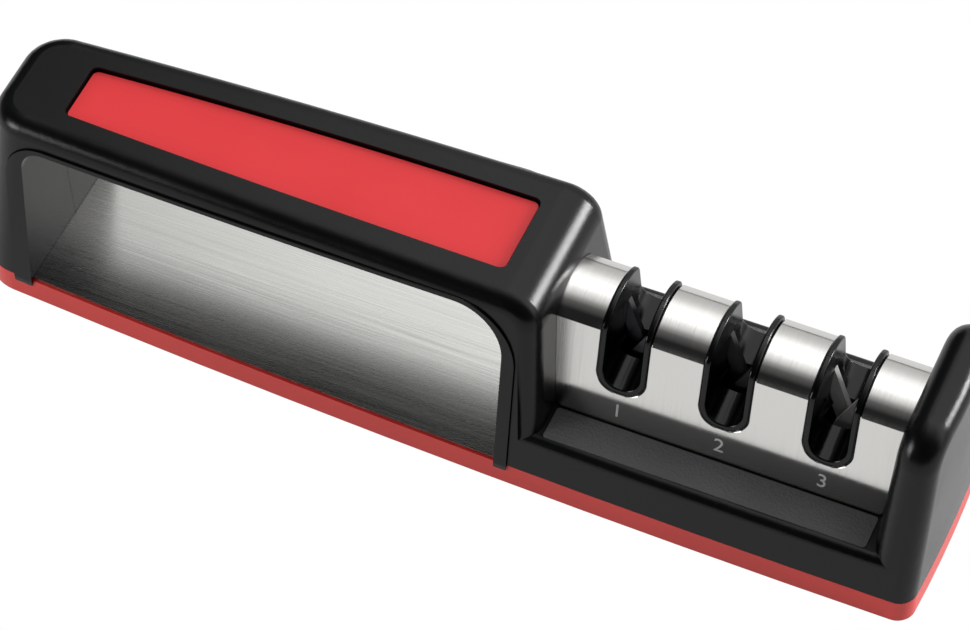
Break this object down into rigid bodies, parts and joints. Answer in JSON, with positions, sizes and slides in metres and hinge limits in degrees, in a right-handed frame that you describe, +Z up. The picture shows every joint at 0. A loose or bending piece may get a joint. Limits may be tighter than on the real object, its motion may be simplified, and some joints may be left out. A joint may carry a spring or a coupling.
{
  "type": "pull-through knife sharpener",
  "caption": "Long hand-held pull-through knife sharpener with a finger opening under the handle and slots of crossed sharpening sticks in a steel arched cover.",
  "frame": {"origin": "on the table, under the middle of the body's bounding box", "axes": "+X along the body towards the sharpening slots, -Y the front, +Z up"},
  "size_m": [0.2134, 0.0502, 0.0504],
  "materials": {
    "black_plastic": "fine satin",
    "core_plastic": "gloss",
    "pad_plastic": "fine texture",
    "red_plastic": "satin",
    "red_panel": "soft satin",
    "brushed_steel": "brushed lengthwise",
    "spring_steel": "bright",
    "rubber_foot": "matte",
    "carbide": "ground",
    "diamond_steel": "fine grit",
    "ceramic": "fine ceramic, matte"
  },
  "bodies": {
    "sharpener_body": {"casing": "black_plastic", "handle_inlay": "red_panel", "floor_plate": "brushed_steel", "base_tray": "red_plastic", "non_slip_feet": "rubber_foot", "base_screws": "spring_steel", "slot_cover": "brushed_steel", "guide_screws": "spring_steel", "arm_pins": "spring_steel", "arm_springs": "spring_steel", "grip_liner_front": "black_plastic", "grip_liner_rear": "black_plastic", "slot_guide_front": "core_plastic", "slot_guide_rear": "core_plastic", "deck_pad_front": "pad_plastic", "deck_pad_rear": "pad_plastic"},
    "coarse_left": {"coarse_arm_left": "core_plastic", "coarse_stick_left": "carbide"},
    "coarse_right": {"coarse_arm_right": "core_plastic", "coarse_stick_right": "carbide"},
    "medium_left": {"medium_arm_left": "core_plastic", "medium_stick_left": "diamond_steel"},
    "medium_right": {"medium_arm_right": "core_plastic", "medium_stick_right": "diamond_steel"},
    "fine_left": {"fine_arm_left": "core_plastic", "fine_stick_left": "ceramic"},
    "fine_right": {"fine_arm_right": "core_plastic", "fine_stick_right": "ceramic"}
  },
  "joints": [
    {"name": "coarse_left_spring_pivot", "type": "hinge", "parent": "sharpener_body", "child": "coarse_left", "pos_m": [0.02895, 0.00419, 0.03758], "axis": [0, 1, 0], "range_deg": [0, 8], "stiffness_Nm_per_rad": 0.3, "springref_deg": -20.05},
    {"name": "coarse_right_spring_pivot", "type": "hinge", "parent": "sharpener_body", "child": "coarse_right", "pos_m": [0.04625, 0.00189, 0.03758], "axis": [0, -1, 0], "range_deg": [0, 8], "stiffness_Nm_per_rad": 0.3, "springref_deg": -20.05},
    {"name": "medium_left_spring_pivot", "type": "hinge", "parent": "sharpener_body", "child": "medium_left", "pos_m": [0.05095, 0.00419, 0.03758], "axis": [0, 1, 0], "range_deg": [0, 8], "stiffness_Nm_per_rad": 0.3, "springref_deg": -20.05},
    {"name": "medium_right_spring_pivot", "type": "hinge", "parent": "sharpener_body", "child": "medium_right", "pos_m": [0.06825, 0.00189, 0.03758], "axis": [0, -1, 0], "range_deg": [0, 8], "stiffness_Nm_per_rad": 0.3, "springref_deg": -20.05},
    {"name": "fine_left_spring_pivot", "type": "hinge", "parent": "sharpener_body", "child": "fine_left", "pos_m": [0.07295, 0.00419, 0.03758], "axis": [0, 1, 0], "range_deg": [0, 8], "stiffness_Nm_per_rad": 0.3, "springref_deg": -20.05},
    {"name": "fine_right_spring_pivot", "type": "hinge", "parent": "sharpener_body", "child": "fine_right", "pos_m": [0.09025, 0.00189, 0.03758], "axis": [0, -1, 0], "range_deg": [0, 8], "stiffness_Nm_per_rad": 0.3, "springref_deg": -20.05}
  ]
}
